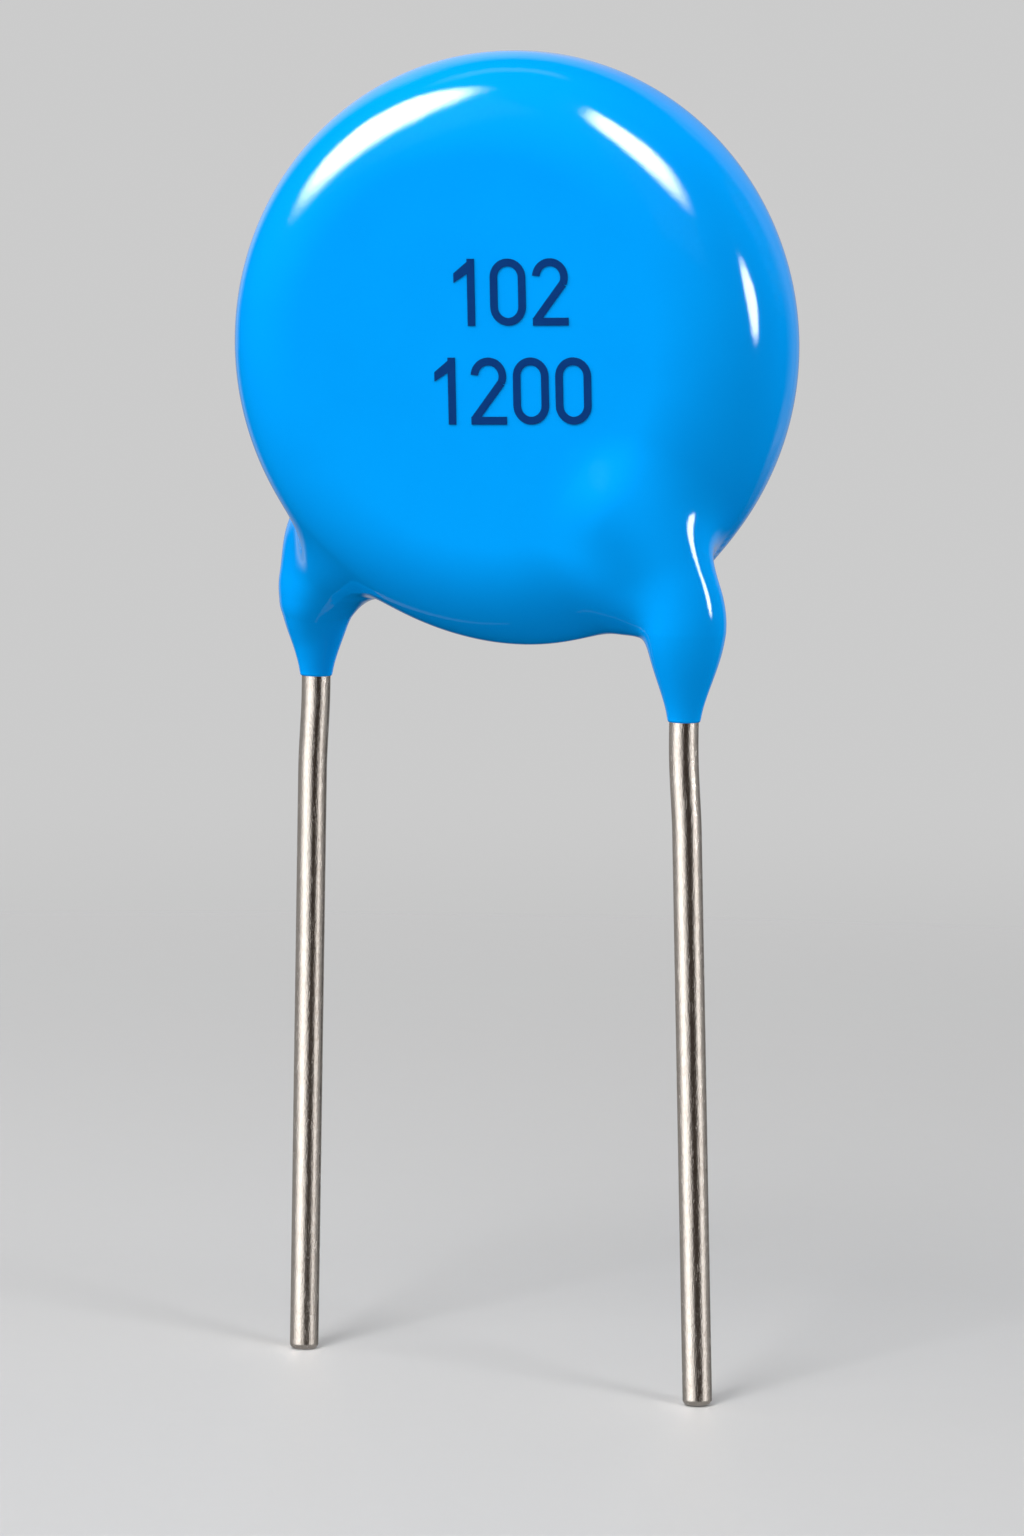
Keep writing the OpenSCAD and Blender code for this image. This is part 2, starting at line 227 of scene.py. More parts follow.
def runLength(lead):
    return (lead["x"] - wire["endReach"]) / cos(radians(wire["slope"])) - bendReach


# a closed tube through rings of points, given in millimetres from the disc's middle
def newTube(name, rings, normals=None):
    count, around = rings.shape[:2]
    faces = []
    for low in range(0, (count - 1) * around, around):
        high = low + around
        for i in range(around):
            j = (i + 1) % around
            faces.append((low + i, high + i, high + j, low + j))
    last = (count - 1) * around
    faces.append(tuple(range(around)))
    faces.append(tuple(last + i for i in reversed(range(around))))
    points = ((rings + discShift) * millimetre).reshape(-1, 3)
    mesh = bpy.data.meshes.new(name)
    mesh.from_pydata(points.tolist(), [], faces)
    mesh.validate()
    mesh.shade_smooth()
    if normals is not None:
        mesh.normals_split_custom_set_from_vertices(normals.reshape(-1, 3).tolist())
    piece = bpy.data.objects.new(name, mesh)
    scene.collection.objects.link(piece)
    return piece


coating = {
    "radius": 7.95,
    "half": 3.0,  # half its thickness over the flat faces
    "rim": 2.8,  # radius of the rounded rim's section
    "sag": 0.24,  # what gathered at the rim below while it dried
    "sagTurn": 14,  # degrees from straight down, towards +X
    "sagWidth": 26,
    "webWidth": 8,  # degrees
    "webTurn": 15,  # from the leg inwards
    "lipWall": 0.05,  # over the wire at a leg's end
    "legWall": 0.7,  # where a leg is thickest
    "taper": 2.7,  # length from the lip to there
    "taperPower": 1.5,  # how late it swells
    "ridgeWall": 0.3,  # over a wire's inner end
    "ridgeRise": 0.3,  # how far the swelling over a wire lies outside the wire's middle
    "ridgeSink": 0.8,  # and how deep it goes in at the wire's inner end
    "blend": 1.3,  # reach of the soft joint between disc and leg
    "archBlend": 1.0,  # the same under the disc, inside the legs
    "archHeight": 1.5,
    "lipRound": 0.07,  # height of the lip's rounded edge
    "lipClear": 0.02,  # from there to the first ring of the skin
    "lipSteps": 8,
    "rimSteps": 34,  # mesh steps round a quarter of the rim
    "faceSteps": 26,  # and from there to the middle of a face
    "legRings": 48,
    "rootRings": 64,
    "discRings": 84,
    "fanDrop": 1.35,  # of the point that the rings turn about, below the longer leg
    "rootSpan": (6, 8),  # degrees before and after the fan meets the disc, for round to turn flat
    "steepest": 70,  # degrees, past which a ring climbs its leg no further
    "tiltSpan": 16,  # degrees in which a leg's level rings come to tilt with the fan
}


def ease(t):
    u = np.clip(t, 0, 1)
    return u * u * (3 - 2 * u)


def mix(a, b, t):
    return a + (b - a) * t


def softMin(a, b, reach):
    h = np.maximum(reach - np.abs(a - b), 0) / reach
    return np.minimum(a, b) - h * h * reach / 4


def swell(angle, middle, width):
    return np.exp(-((angle - middle) / width) ** 2)


def legWeb(angle, depth, lead):
    middle = degrees(asin(lead["x"] / coating["radius"])) - coating["webTurn"]
    ownFace = ease(0.5 - depth / (2 * wire["depth"]))
    return lead["web"] * swell(angle, middle, coating["webWidth"]) * ownFace


# distance from the round-rimmed disc, with what gathered at its rim
def discField(x, y, z):
    angle = np.degrees(np.arctan2(x, -z))
    gathered = coating["sag"] * swell(angle, coating["sagTurn"], coating["sagWidth"])
    gathered = gathered + legWeb(angle, y, frontLead) + legWeb(-angle, -y, rearLead)
    out = np.hypot(x, z) - (coating["radius"] - coating["rim"]) - gathered
    off = np.abs(y) - (coating["half"] - coating["rim"])
    outside = np.hypot(np.maximum(out, 0), np.maximum(off, 0))
    return outside + np.minimum(np.maximum(out, off), 0) - coating["rim"]


# radius of the sleeve, s millimetres along the wire from the leg's end
def sleeveRadius(s, lead, bendMiddle, runStart, run):
    lip = wire["radius"] + coating["lipWall"]
    full = wire["radius"] + coating["legWall"]
    neck = wire["radius"] + lead["neck"]
    ridge = wire["radius"] + coating["ridgeWall"]
    taper = coating["taper"]
    swelling = mix(lip, full, np.sin(pi / 2 * np.clip(s / taper, 0, 1)) ** coating["taperPower"])
    narrowing = mix(full, neck, ease((s - taper) / (bendMiddle - taper)))
    fading = mix(neck, ridge, ease((s - runStart) / run))
    return np.where(s < taper, swelling, np.where(s < runStart, narrowing, fading))


# distance from the sleeve round one wire, drawn on the front face
def sleeveField(x, y, z, lead):
    depth = y + wire["depth"]
    end, top = -lead["drop"], bendHeight(lead)
    bend, hubX, a = wire["bend"], lead["x"] - wire["bend"], radians(bendAngle)
    run, rise = runLength(lead), coating["ridgeRise"]
    bendStart = top - end
    runStart = bendStart + bend * a
    sizes = (lead, bendStart + bend * a / 2, runStart, run)

    level = np.clip(z, end, top)
    fromLeg = np.sqrt((x - lead["x"]) ** 2 + (z - level) ** 2 + depth ** 2)

    turn = np.clip(np.arctan2(z - top, x - hubX), 0, a)
    bendX, bendZ = hubX + bend * np.cos(turn), top + bend * np.sin(turn)
    bendDepth = depth + rise * ease(turn / a)
    fromBend = np.sqrt((x - bendX) ** 2 + (z - bendZ) ** 2 + bendDepth ** 2)

    startX, startZ = hubX + bend * cos(a), top + bend * sin(a)
    along = np.clip(-(x - startX) * sin(a) + (z - startZ) * cos(a), 0, run)
    runX, runZ = startX - along * sin(a), startZ + along * cos(a)
    runDepth = depth + mix(rise, -coating["ridgeSink"], ease(along / run))
    fromRun = np.sqrt((x - runX) ** 2 + (z - runZ) ** 2 + runDepth ** 2)

    return np.minimum(
        np.minimum(fromLeg - sleeveRadius(level - end, *sizes),
                   fromBend - sleeveRadius(bendStart + bend * turn, *sizes)),
        fromRun - sleeveRadius(runStart + along, *sizes))


def filletReach(x, z, lead):
    under = ease((-z - coating["radius"]) / coating["archHeight"] + 1)
    return mix(coating["blend"], coating["archBlend"], under * ease(lead["x"] - x))


# the rear sleeve is the front one's, given half a turn
def skinField(points):
    x, y, z = points[..., 0], points[..., 1], points[..., 2]
    front = sleeveField(x, y, z, frontLead)
    rear = sleeveField(-x, -y, z, rearLead)
    field = softMin(discField(x, y, z), front, filletReach(x, z, frontLead))
    return softMin(field, rear, filletReach(-x, z, rearLead))


def skinNormals(points, step=0.004):
    slopes = [skinField(points + step * axis) - skinField(points - step * axis)
              for axis in np.eye(3)]
    normals = np.stack(slopes, axis=-1)
    return normals / np.linalg.norm(normals, axis=-1, keepdims=True)


# points where rays from a start leave the skin, found by halving
def skinHits(start, ways, halvings=26):
    ways = ways / np.linalg.norm(ways, axis=-1, keepdims=True)
    near = np.zeros(ways.shape[:-1])
    far = near + 2 * coating["radius"]
    for _ in range(halvings):
        middle = (near + far) / 2
        outside = skinField(start + middle[..., None] * ways) > 0
        near, far = np.where(outside, near, middle), np.where(outside, middle, far)
    return start + ((near + far) / 2)[..., None] * ways


def ringTurns(count):
    return np.arange(count) * 2 * pi / count


# a ring's rays: a circle for a leg, the disc's own rounded section for the disc
def ringShape(t):
    rim, half = coating["rim"], coating["half"]
    flat = coating["radius"] - rim
    bend = np.linspace(0, pi / 2, coating["rimSteps"], endpoint=False)
    across = flat * np.linspace(1, 0, coating["faceSteps"] + 1)
    quarter = np.concatenate([
        np.stack([flat + rim * np.cos(bend), half - rim + rim * np.sin(bend)], axis=-1),
        np.stack([across, 0 * across + half], axis=-1)])
    quarter[0, 1] = 0
    upper = np.concatenate([quarter, quarter[-2:0:-1] * (-1, 1)])
    section = np.concatenate([upper, upper * (-1, -1)])
    turns = ringTurns(len(section))
    circle = np.stack([np.cos(turns), np.sin(turns)], axis=-1)
    return mix(circle, section / coating["radius"], t)


fanPoint = np.array([(frontLead["x"] - rearLead["x"]) / 2,
                     -max(frontLead["drop"], rearLead["drop"]) - coating["fanDrop"]])


# rings of the skin from a leg's end to the middle of the disc, turned like a fan about a point
# between the legs
def skinRings(lead):
    side, radius = lead["side"], coating["radius"]
    full = wire["radius"] + coating["legWall"]
    touch = degrees(acos(radius / hypot(*fanPoint)))
    rootStart, rootEnd = touch - coating["rootSpan"][0], touch + coating["rootSpan"][1]
    legsApart = frontLead["x"] + rearLead["x"]
    endAngle = degrees(atan2(-lead["drop"] - fanPoint[1], legsApart / 2))
    angles = np.concatenate([
        np.linspace(endAngle, rootStart, coating["legRings"], endpoint=False),
        np.linspace(rootStart, rootEnd, coating["rootRings"], endpoint=False),
        np.linspace(rootEnd, 90, coating["discRings"], endpoint=False)])
    rings = []
    for angle in angles:
        a = radians(angle)
        t = float(ease((angle - rootStart) / (rootEnd - rootStart)))
        # the ring's middle goes from the leg to the middle of the fan's chord through the disc
        legRise = (lead["x"] - side * fanPoint[0]) * tan(min(a, radians(coating["steepest"])))
        onLeg = np.array([side * lead["x"], fanPoint[1] + legRise])
        way = np.array([side * cos(a), sin(a)])
        onChord = fanPoint + np.dot(-fanPoint, way) * way
        halfChord = sqrt(max(radius ** 2 - np.dot(onChord, onChord), full ** 2))
        middle = mix(onLeg, onChord, t)
        start = np.array([middle[0], -side * wire["depth"] * (1 - t), middle[1]])
        long = mix(1, halfChord / radius, t)
        tilt = a * float(ease((angle - endAngle) / coating["tiltSpan"]))
        shape = ringShape(t)
        ways = np.stack([side * long * shape[:, 0] * cos(tilt), shape[:, 1],
                         long * shape[:, 0] * sin(tilt)], axis=-1)
        rings.append(skinHits(start, ways))
    return np.array(rings)


def middleRing():
    shape = ringShape(1)
    start = np.array([fanPoint[0], 0, 0])
    return skinHits(start, np.stack([0 * shape[:, 0], shape[:, 1], shape[:, 0]], axis=-1))[None]


# a lip that rounds in to the wire and closes inside it: distance from the wire's middle, height
# over the leg's end, slope
lipProfile = [(0.35, 0.4, 0), (0.37, 0.2, 0), (0.385, 0.02, 0)]
lipProfile += [(wire["radius"] + coating["lipWall"] * sin(a), coating["lipRound"] * (1 - cos(a)), a)
               for a in np.linspace(0, pi / 2, coating["lipSteps"])]


def lipRings(lead, turns):
    side = lead["side"]
    x, y, end = side * lead["x"], -side * wire["depth"], -lead["drop"]
    return np.array([
        np.stack([x + side * r * np.cos(turns), y + r * np.sin(turns), 0 * turns + end + lift],
                 axis=-1)
        for r, lift, _ in lipProfile])


def lipNormals(lead, turns):
    return np.array([
        np.stack([lead["side"] * sin(a) * np.cos(turns), sin(a) * np.sin(turns),
                  0 * turns - cos(a)], axis=-1)
        for _, _, a in lipProfile])


# a lead's rings of the skin, without those that its lip takes the place of
def clearRings(lead):
    rings = skinRings(lead)
    heights = rings[:, :, 2].min(axis=1) + lead["drop"]
    return rings[np.argmax(heights > coating["lipRound"] + coating["lipClear"]):]


def makeCoating():
    turns = ringTurns(len(ringShape(1)))
    skin = np.concatenate([clearRings(rearLead), middleRing(), clearRings(frontLead)[::-1]])
    rings = np.concatenate([lipRings(rearLead, turns), skin, lipRings(frontLead, turns)[::-1]])
    normals = np.concatenate([lipNormals(rearLead, turns), skinNormals(skin),
                              lipNormals(frontLead, turns)[::-1]])
    return newTube("dipped_coating", rings, normals)


coat = makeCoating()
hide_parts("epoxy_coating")
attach(coat, "root")
print("coating made:", len(coat.data.vertices), "points")


# the wire's path from its inner end, as points and headings; a heading is the angle outwards
# from straight down
def leadPath(lead, tipZ):
    x, z, heading = wire["endReach"], endHeight(lead), radians(bendAngle)
    path = [(x, z, heading)]

    def straight(length):
        nonlocal x, z
        steps = max(1, round(length / wire["straightStep"]))
        for _ in range(steps):
            x += sin(heading) * length / steps
            z -= cos(heading) * length / steps
            path.append((x, z, heading))

    def curve(goal, radius):
        nonlocal x, z, heading
        start, steps = heading, max(4, round(abs(degrees(goal - heading)) / wire["bendStep"]))
        length = 2 * radius * sin(abs(goal - start) / steps / 2)
        for i in range(steps):
            middle = mix(start, goal, (i + 0.5) / steps)
            x += sin(middle) * length
            z -= cos(middle) * length
            heading = mix(start, goal, (i + 1) / steps)
            path.append((x, z, heading))

    straight(runLength(lead))
    curve(0.0, wire["bend"])
    straight(bendHeight(lead) + lead["drop"] + wire["lipToKick"])
    curve(radians(lead["kick"]), wire["kickRadius"])
    straight(wire["kickLength"])
    curve(radians(lead["splay"]), wire["kickRadius"])
    straight((z - tipZ) / cos(heading) - wire["radius"] * tan(heading))
    return path


def makeLead(name, lead, node):
    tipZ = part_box(node)[0].z / millimetre - discMiddle.z
    path = leadPath(lead, tipZ)
    turns = np.linspace(0, 2 * pi, wire["around"], endpoint=False)
    radius, bevel = wire["radius"], wire["bevel"]

    # a ring of a radius round a point of the path, moved along by a distance
    def ring(spot, r, along=0.0):
        x, z, heading = spot
        centre = np.array([x + along * sin(heading), -wire["depth"], z - along * cos(heading)])
        across = np.array([cos(heading), 0, sin(heading)])
        points = centre + r * (np.cos(turns)[:, None] * across
                               + np.sin(turns)[:, None] * np.array([0, 1, 0]))
        return points * (lead["side"], lead["side"], 1)

    rings = [ring(path[0], radius * 0.5), ring(path[0], radius - bevel),
             ring(path[0], radius, bevel / 3)]
    rings += [ring(spot, radius) for spot in path[1:-1]]
    width, height = wire["tipRound"]
    rings.append(ring(path[-1], radius, -height - bevel))
    for a in np.linspace(0, pi / 2, wire["tipSteps"]):
        rings.append(ring(path[-1], radius - width * (1 - cos(a)), -height * (1 - sin(a))))
    rings += [ring(path[-1], radius * share) for share in (0.45, 0.2)]
    piece = newTube(name, np.array(rings))
    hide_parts(node)
    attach(piece, "root")
    return piece


frontWire = makeLead("front_wire", frontLead, "front_lead")
rearWire = makeLead("rear_wire", rearLead, "rear_lead")
print("leads made")

# in every look a scale is per millimetre and a height is in millimetres
coatLook = {
    "color": (0.0, 0.35, 0.96),
    "deep": (0.0, 0.33, 0.93),  # in slow clouds
    "cloudScale": 0.35,
    "cloudGain": 1.6,
    "roughness": 0.07,
    "roughnessSpread": 0.03,
    "specular": 0.3,
    "peelScale": 1.1,  # the slight waves of a dipped skin
    "peelHeight": 0.006,
    "fineScale": 6.25,  # the finest unevenness, which feathers the edges of reflections
    "fineHeight": 0.0011,
}


def coatMaterial():
    look = coatLook
    material, g = newMaterial("glossyBlueEpoxy")
    spot = g.point()
    cloud = (g.noise(spot, look["cloudScale"], detail=2.0) - 0.5) * look["cloudGain"] + 0.5
    peel = g.noise(spot, look["peelScale"], detail=2.0, roughness=0.4)
    fine = g.noise(spot, look["fineScale"], detail=2.0)
    normal = g.bumps(peel * look["peelHeight"] + fine * look["fineHeight"])
    surface = g.add("ShaderNodeBsdfPrincipled", {"distribution": "MULTI_GGX"},
                    Base_Color=g.blendColor(cloud.clamped(), look["color"], look["deep"]),
                    Roughness=look["roughness"] + (fine - 0.5) * look["roughnessSpread"],
                    Specular_IOR_Level=look["specular"], Normal=normal)
    g.finish(surface)
    return material


leadLook = {
    "color": (0.66, 0.60, 0.545),
    "dark": (0.44, 0.37, 0.315),  # where the tin is worn
    "wornScale": 3.0,
    "wornFrom": 0.42,
    "wornGain": 2.2,
    "wornMost": 0.45,
    "roughness": 0.2,
    "roughnessSpread": 0.16,
    "grainScale": 22.0,
    "grainStretch": (1.0, 1.0, 0.35),  # drawn out along the wire
    "grainHeight": 0.0062,
    "leafScale": 14.0,
    "leafStretch": (1.0, 1.0, 0.12),
    "leafHeight": 0.0050,
    "nickFrom": 0.62,  # the leaf's value where a nick starts, and where it is whole
    "nickTo": 0.70,
    "nickDepth": 0.002,
    "nickRoughness": 0.1,
}


def leadMaterial():
    look = leadLook
    material, g = newMaterial("tinnedWire")
    grain = g.noise(g.point(look["grainStretch"]), look["grainScale"], roughness=0.6)
    leaf = g.noise(g.point(look["leafStretch"]), look["leafScale"], detail=2.0, roughness=0.55)
    mottle = g.noise(g.point(), look["wornScale"], roughness=0.6)
    nicks = g.fade(leaf, look["nickFrom"], look["nickTo"])
    worn = ((mottle - look["wornFrom"]) * look["wornGain"]).clamped() * look["wornMost"]
    roughness = look["roughness"] + (grain - 0.5) * look["roughnessSpread"]
    height = grain * look["grainHeight"] + leaf * look["leafHeight"] - nicks * look["nickDepth"]
    surface = g.add("ShaderNodeBsdfPrincipled", {"distribution": "MULTI_GGX"},
                    Base_Color=g.blendColor(worn, look["color"], look["dark"]), Metallic=1.0,
                    Roughness=roughness + nicks * look["nickRoughness"], Normal=g.bumps(height))
    g.finish(surface)
    return material


inkLook = {
    "color": (0.0, 0.034, 0.175),
    "pale": (0.0, 0.052, 0.23),  # where the print is thin
    "paleScale": 2.6,
    "paleFrom": 0.4,
    "paleGain": 1.5,
    "paleMost": 0.6,
    "roughness": 0.3,
    "roughnessSpread": 0.1,
    "specular": 0.12,
    "speckleScale": 16.0,
    "speckleHeight": 0.002,
}


def inkMaterial():
    look = inkLook
    material, g = newMaterial("printedInk")
    spot = g.point()
    patches = g.noise(spot, look["paleScale"], roughness=0.6)
    speckle = g.noise(spot, look["speckleScale"], detail=2.0)
    thin = ((patches - look["paleFrom"]) * look["paleGain"]).clamped() * look["paleMost"]
    surface = g.add("ShaderNodeBsdfPrincipled", None,
                    Base_Color=g.blendColor(thin, look["color"], look["pale"]),
                    Roughness=look["roughness"] + (speckle - 0.5) * look["roughnessSpread"],
                    Specular_IOR_Level=look["specular"],
                    Normal=g.bumps(speckle * look["speckleHeight"], strength=0.6))
    g.finish(surface)
    return material


# the pieces inside the coating
innerLooks = {
    "ceramic": {"name": "firedCeramic", "color": (0.62, 0.50, 0.36), "dark": (0.50, 0.40, 0.29),
                "metallic": 0.0, "roughness": 0.6, "scale": 9.0},
    "electrode": {"name": "firedSilver", "color": (0.80, 0.80, 0.80), "dark": (0.66, 0.66, 0.65),
                  "metallic": 1.0, "roughness": 0.38, "scale": 14.0},
    "solder": {"name": "softSolder", "color": (0.62, 0.62, 0.63), "dark": (0.48, 0.48, 0.49),
               "metallic": 1.0, "roughness": 0.3, "scale": 4.0},
}
innerGrain = {"roughnessSpread": 0.2, "height": 0.01}


def innerMaterial(look):
    material, g = newMaterial(look["name"])
    grain = g.noise(g.point(), look["scale"], detail=4.0, roughness=0.6)
    roughness = look["roughness"] + (grain - 0.5) * innerGrain["roughnessSpread"]
    surface = g.add("ShaderNodeBsdfPrincipled", None,
                    Base_Color=g.blendColor(grain, look["color"], look["dark"]),
                    Metallic=look["metallic"], Roughness=roughness,
                    Normal=g.bumps(grain * innerGrain["height"]))
    g.finish(surface)
    return material


dress(coat, coatMaterial())
tinned = leadMaterial()
dress(frontWire, tinned)
dress(rearWire, tinned)
dress(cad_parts["value_marking"], inkMaterial())
inner = {kind: innerMaterial(look) for kind, look in innerLooks.items()}
dress(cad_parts["ceramic_disc"], inner["ceramic"])
for side in ("front", "rear"):
    dress(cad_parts[side + "_electrode"], inner["electrode"])
    dress(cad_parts[side + "_solder"], inner["solder"])
print("materials made")

studio = {
    "floor": (0.462, 0.462, 0.464),
    "floorShade": 0.97,  # how much darker its clouds are
    "floorRoughness": 0.45,
    "cloudScale": 0.06,
    "grainScale": 0.8,
    "grainHeight": 0.02,
    "backdrop": 0.60,
    "fill": 0.50,
    "fadeStart": 0.035,  # m from the object, where the floor starts to run into the backdrop
    "fadeEnd": 0.16,
    "reach": 0.5,
    "rings": 24,
    "around": 96,
    "drop": 0.00001,  # keeps the floor off the lead tips
}


def makeFloor():
    rings, around = studio["rings"], studio["around"]
    mesh = bpy.data.meshes.new("floor")
    points = [(0, 0, 0)]
    for r in range(1, rings + 1):
        radius = studio["reach"] * (r / rings) ** 2
        points += [(radius * cos(turn), radius * sin(turn), 0) for turn in ringTurns(around)]
    faces = [(0, 1 + i, 1 + (i + 1) % around) for i in range(around)]
    for low in range(1, 1 + (rings - 1) * around, around):
        for i in range(around):
            j = (i + 1) % around
            faces.append((low + i, low + around + i, low + around + j, low + j))
    mesh.from_pydata(points, [], faces)
    made = bpy.data.objects.new("floor", mesh)
    made.location.z = -studio["drop"]
    scene.collection.objects.link(made)
    dress(made, floorMaterial())
    made.visible_glossy = False
    made.visible_diffuse = False
    return made


def floorMaterial():
    material, g = newMaterial("paleFloor")
    spot = g.point()
    grain = g.noise(spot, studio["grainScale"], detail=4.0, roughness=0.6)
    cloud = g.noise(spot, studio["cloudScale"], detail=2.0)
    shade = tuple(c * studio["floorShade"] for c in studio["floor"])
    base = g.blendColor((cloud * 0.5 + grain * 0.5).clamped(), studio["floor"], shade)
    sheet = g.add("ShaderNodeBsdfPrincipled", None, Base_Color=base,
                  Roughness=studio["floorRoughness"], IOR=1.4,
                  Normal=g.bumps(grain * studio["grainHeight"], strength=0.3))
    away = g.vector("LENGTH", g.place(), output="Value")
    faded = g.fade(away, studio["fadeStart"], studio["fadeEnd"], "SMOOTHERSTEP")
    clear = g.add("ShaderNodeBsdfTransparent")
    g.finish(g.add("ShaderNodeMixShader", None, faded, sheet, clear))
    return material


# the backdrop is what the camera and reflections see; the fill is what lights the object
def makeWorld():
    world = bpy.data.worlds.new("studio")
    scene.world = world
    g = Graph(world)
    straight = g.add("ShaderNodeLightPath", output="Is Camera Ray")
    mirrored, through = straight.beside("Is Glossy Ray"), straight.beside("Is Transmission Ray")
    seen = (straight + mirrored + through).clamped()
    shown = g.add("ShaderNodeBackground", None, (studio["backdrop"],) * 3, 1.0)
    fill = g.add("ShaderNodeBackground", None, (1.0, 1.0, 1.0), studio["fill"])
    g.finish(g.add("ShaderNodeMixShader", None, seen, fill, shown), "ShaderNodeOutputWorld")


floor = makeFloor()
makeWorld()
print("floor and backdrop made")

middle = Vector((0, 0, 0.024))  # what lamps and cards stand round


# a direction from its turn from straight in front, towards +X, and its height, in degrees
def direction(turn, height):
    t, h = radians(turn), radians(height)
    return Vector((sin(t) * cos(h), -cos(t) * cos(h), sin(h)))


# what a lamp or a card is there for
def group(name, pieces):
    made = bpy.data.collections.new(name)
    for piece in pieces:
        made.objects.link(piece)
    return made


wires = group("wires", (frontWire, rearWire))
capacitor = group("capacitor", (coat, frontWire, rearWire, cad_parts["value_marking"]))
ground = group("ground", (floor,))

# level is what a lamp adds on a surface that faces it; where shades is given, only that
# throws its shadow
lamps = {
    "key_lamp": {"turn": -55, "height": 40, "size": 0.5, "level": 1.06, "lights": capacitor},
    "fill_lamp": {"turn": 35, "height": 40, "size": 0.4, "level": 0.36, "lights": capacitor},
    "rim_lamp": {"turn": 150, "height": 20, "size": 0.3, "level": 0.7, "lights": capacitor},
    "floor_key": {"turn": -2, "height": 42, "size": 0.15, "level": 0.64,
                  "lights": ground, "shades": wires},
    "floor_top": {"turn": -2, "height": 46, "size": 0.36, "level": 0.40, "lights": ground},
    "floor_fill": {"turn": 60, "height": 38, "size": 0.15, "level": 0.38,
                   "lights": ground, "shades": wires},
}
lampAway = 0.6  # m


def makeLamp(name, lamp):
    data = bpy.data.lights.new(name, "AREA")
    data.shape = "SQUARE"
    data.size = lamp["size"]
    data.energy = lamp["level"] * (pi * lampAway) ** 2
    made = bpy.data.objects.new(name, data)
    way = direction(lamp["turn"], lamp["height"])
    made.location = middle + way * lampAway
    made.rotation_mode = "QUATERNION"
    made.rotation_quaternion = way.to_track_quat("Z", "Y")
    made.visible_camera = False
    made.visible_glossy = False
    made.light_linking.receiver_collection = lamp["lights"]
    if "shades" in lamp:
        made.light_linking.blocker_collection = lamp["shades"]
    scene.collection.objects.link(made)


for name, lamp in lamps.items():
    makeLamp(name, lamp)

# cards seen only as reflections; corners are (turn, height): left low, right low, right high,
# left high; away is in metres from the middle; soft is how far each edge fades in, as a share
# of the card: left, right, low, high; a round card fades in from an oval with that power, over
# that share of its half width
cards = {
    "rear_wall": {"corners": ((165, -60), (225, -60), (225, 60), (165, 60)),
                  "away": 0.49, "tone": 0.32, "soft": (0, 0, 0, 0)},
    "dark_tent": {"corners": ((-140, -48), (174, -48), (174, 58), (-140, 58)),
                  "away": 0.46, "tone": 0.0, "soft": (0.07, 0.07, 0, 0)},
    "dark_ceiling": {"corners": ((-180, 38), (180, 38), (180, 90), (-180, 90)),
                     "away": 0.48, "tone": 0.0, "soft": (0, 0, 0.16, 0)},
    "dark_below": {"corners": ((-180, -90), (180, -90), (180, -12), (-180, -12)),
                   "away": 0.475, "tone": 0.0, "soft": (0, 0, 0, 0.12)},
    "left_window": {"corners": ((-92, 15), (-44, 15), (-44, 69), (-92, 69)),
                    "away": 0.40, "tone": 46, "round": (2.2, 0.55)},
    "right_window": {"corners": ((-5, 68), (60, 29), (79, 60), (30, 86)),
                     "away": 0.40, "tone": 46, "round": (2.8, 0.6)},
    "right_strip": {"corners": ((89, -1), (106, -1), (106, 27), (89, 27)),
                    "away": 0.40, "tone": 34, "round": (2.2, 0.5)},
    "rear_card": {"corners": ((-172, -6), (-120, -6), (-120, 46), (-172, 46)),
                  "away": 0.42, "tone": 0.72, "soft": (0.4, 0.3, 0.3, 0.3)},
    "top_arc": {"corners": ((-170, 66), (-96, 49), (-98, 61), (-170, 77)),
                "away": 0.41, "tone": 0.7, "soft": (0.2, 0.3, 0.4, 0.4)},
}


def makeCard(name, card, rows=16, columns=48):
    a, b, c, d = (np.array(corner, float) for corner in card["corners"])
    points, faces, spots = [], [], []
    for j in range(rows + 1):
        v = j / rows
        for i in range(columns + 1):
            u = i / columns
            turn, height = mix(mix(a, b, u), mix(d, c, u), v)
            points.append(middle + direction(turn, height) * card["away"])
            spots.append((u, v))
    for j in range(rows):
        for i in range(columns):
            p = j * (columns + 1) + i
            faces.append((p, p + 1, p + columns + 2, p + columns + 1))
    stageCard(name, card, points, faces, spots)


def stageCard(name, card, points, faces, spots):
    mesh = bpy.data.meshes.new(name)
    mesh.from_pydata(points, [], faces)
    layer = mesh.uv_layers.new(name="across")
    for loop in mesh.loops:
        layer.data[loop.index].uv = spots[loop.vertex_index]
    made = bpy.data.objects.new(name, mesh)
    scene.collection.objects.link(made)
    dress(made, cardMaterial(name, card))
    made.visible_camera = False
    made.visible_diffuse = False
    made.visible_shadow = False
    made.visible_transmission = False
    return made


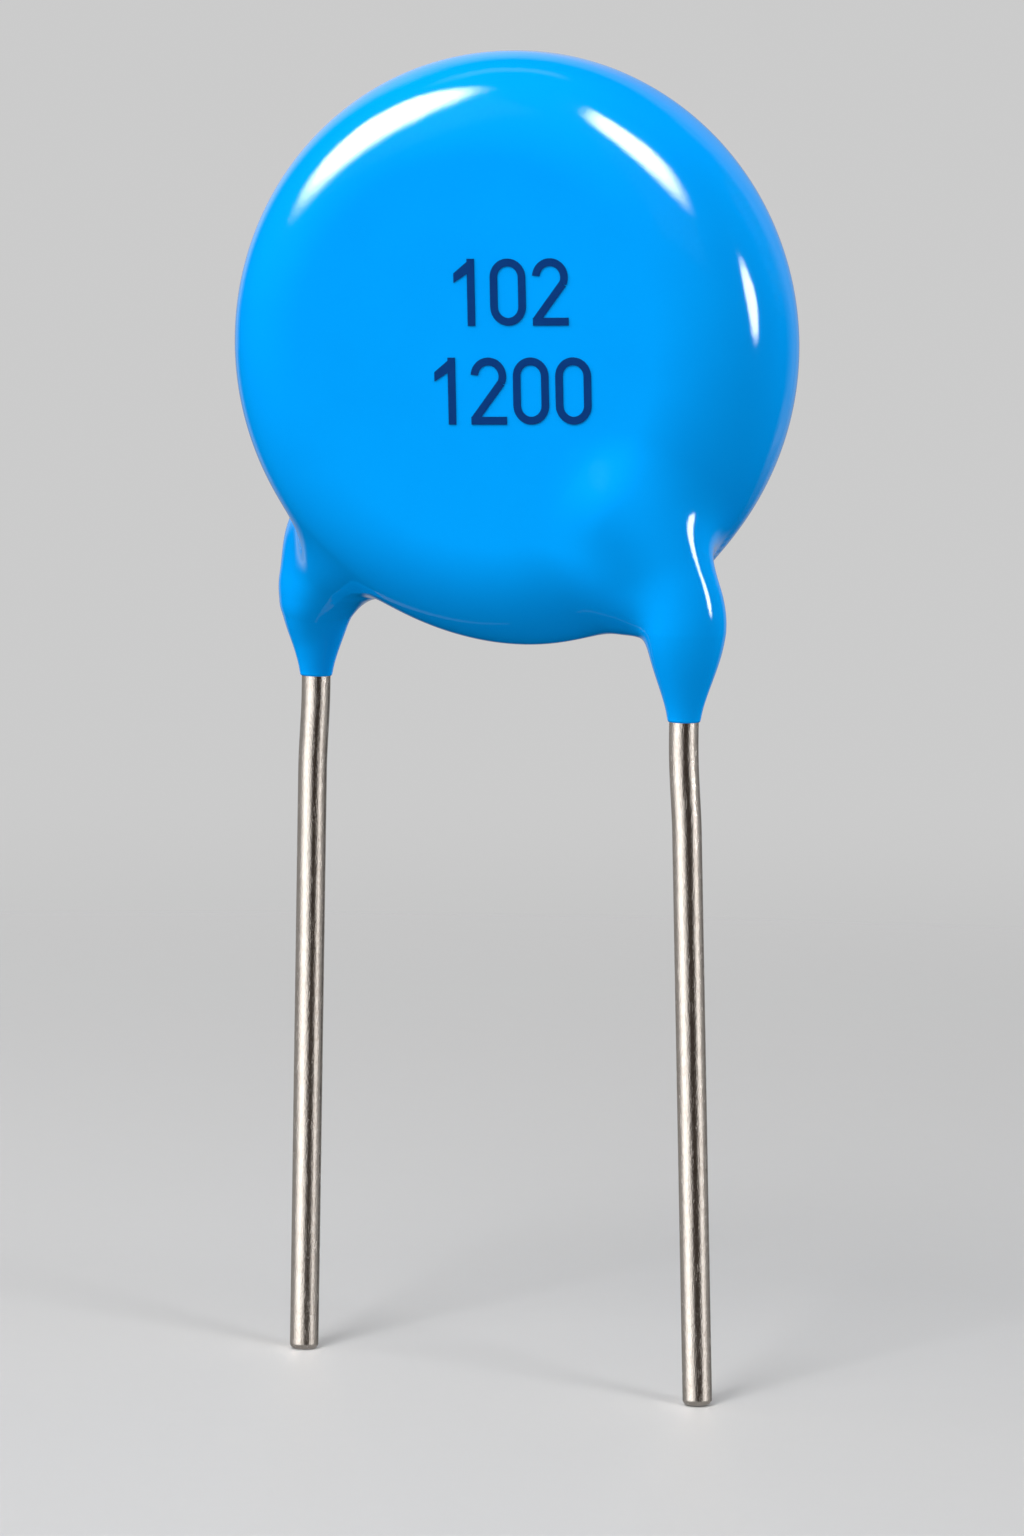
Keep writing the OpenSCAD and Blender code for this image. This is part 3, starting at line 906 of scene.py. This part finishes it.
def cardMaterial(name, card):
    material, g = newMaterial(name)
    u = g.add("ShaderNodeSeparateXYZ", None, g.add("ShaderNodeTexCoord", output="UV"), output="X")
    v = u.beside("Y")
    if "round" in card:
        power, soft = card["round"]
        across, upwards = (u * 2 - 1).absolute(), (v * 2 - 1).absolute()
        radius = (across ** power + upwards ** power) ** (1 / power)
        edges = [((1 - radius).clamped(), soft)]
    else:
        edges = list(zip((u, 1 - u, v, 1 - v), card["soft"]))
    mask = None
    for distance, reach in edges:
        if reach:
            edge = g.fade(distance, 0.0, reach, "SMOOTHSTEP")
            mask = edge if mask is None else mask * edge
    glow = g.add("ShaderNodeEmission", None, card.get("tint", (1.0, 1.0, 1.0)), float(card["tone"]))
    if mask is not None:
        clear = g.add("ShaderNodeBsdfTransparent")
        glow = g.add("ShaderNodeMixShader", None, mask, clear, glow)
    g.finish(glow)
    return material


for name, card in cards.items():
    makeCard(name, card)

# low cards round the leads and a sheet under them, which only the leads reflect
lowCards = {
    "low_wall": {"turns": (-130, 152), "away": 0.086, "tone": 0.31, "soft": (0.05, 0.05, 0, 0)},
    "low_dark": {"turns": (4, 82), "away": 0.084, "tone": 0.04, "tint": (1.0, 0.75, 0.6),
                 "soft": (0.25, 0.25, 0, 0)},
    "low_white": {"turns": (-84, 22), "away": 0.080, "tone": 2.1, "soft": (0.5, 0.5, 0, 0)},
    "low_right": {"turns": (57, 113), "away": 0.082, "tone": 1.4, "soft": (0.5, 0.5, 0, 0)},
}
lowSheet = {"away": 0.08, "step": 15, "tone": 0.32, "soft": (0, 0, 0, 0)}
lowReach = 0.022  # m, above and below the tips


def makeLowCard(name, card, steps=64):
    points, faces, spots = [], [], []
    for i in range(steps + 1):
        way = direction(mix(*card["turns"], i / steps), 0) * card["away"]
        points += [(way.x, way.y, -lowReach), (way.x, way.y, lowReach)]
        spots += [(i / steps, 0.0), (i / steps, 1.0)]
        if i < steps:
            faces.append((2 * i, 2 * i + 2, 2 * i + 3, 2 * i + 1))
    made = stageCard(name, card, points, faces, spots)
    made.light_linking.receiver_collection = wires


def makeLowSheet():
    ways = [direction(turn, 0) * lowSheet["away"] for turn in range(0, 360, lowSheet["step"])]
    points = [(way.x, way.y, -lowReach) for way in ways]
    made = stageCard("low_sheet", lowSheet, points, [tuple(range(len(ways)))],
                     [(0.5, 0.5)] * len(ways))
    made.light_linking.receiver_collection = wires


for name, card in lowCards.items():
    makeLowCard(name, card)
makeLowSheet()
print("lamps and cards placed")

scene.view_settings.view_transform = "Standard"
